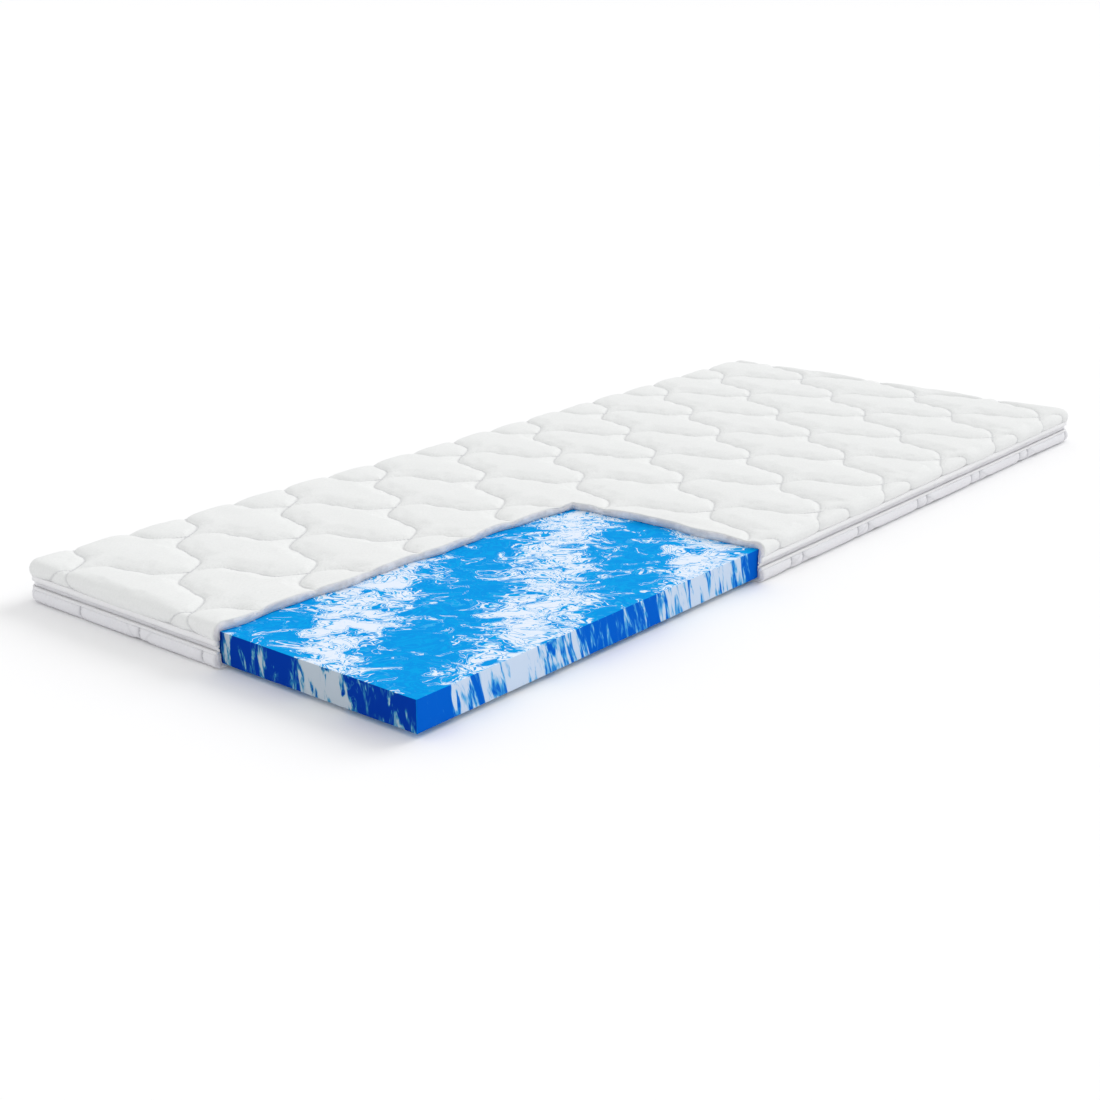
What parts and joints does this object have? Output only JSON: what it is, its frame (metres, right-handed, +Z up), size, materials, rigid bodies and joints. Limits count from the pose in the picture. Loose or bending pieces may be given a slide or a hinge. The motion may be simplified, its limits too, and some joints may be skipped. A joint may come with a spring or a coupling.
{
  "type": "memory foam mattress",
  "caption": "Thin memory foam mattress with a quilted zip-off cover, cut away over one corner to show the marbled gel foam core.",
  "frame": {"origin": "centre of the underside, on the surface that the mattress lies on", "axes": "+X along the length, +Y along the width, +Z up; the cutaway is at the -X, -Y corner"},
  "size_m": [1.9, 0.8, 0.065],
  "materials": {
    "cover_knit_upper": "soft white knit, quilted in an ogee lattice",
    "cover_knit_lower": "soft off-white knit, plain with pinch stitches",
    "fibre_wadding": "fluffy polyester fibre",
    "backing_fleece": "thin felted fleece",
    "stitch_thread": "twisted polyester thread",
    "edge_binding": "woven herringbone tape",
    "zip_tape": "fine woven tape",
    "zip_coil": "satin nylon coil",
    "zip_metal": "satin nickel",
    "label_satin": "blank satin ribbon",
    "gel_memory_foam": "open-cell blue foam with marbled pale gel swirls"
  },
  "bodies": {
    "bottom_cover": {"bottom_face_fabric": "cover_knit_lower", "bottom_wadding": "fibre_wadding", "bottom_backing_fleece": "backing_fleece", "lower_pinch_stitches": "stitch_thread", "lower_edge_binding": "edge_binding", "lower_seam_thread": "stitch_thread", "lower_zip_tape": "zip_tape", "lower_zip_coil": "zip_coil", "zip_start_box": "zip_metal", "care_label": "label_satin"},
    "core": {"foam_core": "gel_memory_foam"},
    "top_cover": {"top_face_fabric": "cover_knit_upper", "top_wadding": "fibre_wadding", "top_backing_fleece": "backing_fleece", "top_quilting_thread": "stitch_thread", "upper_edge_binding": "edge_binding", "upper_seam_thread": "stitch_thread", "upper_zip_tape": "zip_tape", "upper_zip_coil": "zip_coil", "zip_start_pin": "zip_metal"},
    "zip_slider": {"zip_slider_body": "zip_metal"},
    "zip_pull": {"zip_pull_tab": "zip_metal"}
  },
  "joints": [
    {"name": "top_cover_lift", "type": "slide", "parent": "bottom_cover", "child": "top_cover", "axis": [0, 0, 1], "range_m": [0, 0.25]},
    {"name": "core_lift", "type": "slide", "parent": "bottom_cover", "child": "core", "axis": [0, 0, 1], "range_m": [0, 0.125]},
    {"name": "zip_slider_travel", "type": "slide", "parent": "bottom_cover", "child": "zip_slider", "axis": [1, 0, 0], "range_m": [0, 1.7]},
    {"name": "zip_pull_swing", "type": "hinge", "parent": "zip_slider", "child": "zip_pull", "pos_m": [-0.84, 0.3983, 0.0295], "axis": [0, 0, 1], "range_deg": [0, 178]}
  ],
  "couplings": [
    {"joint": "core_lift", "follows": "top_cover_lift", "ratio": 0.5}
  ]
}
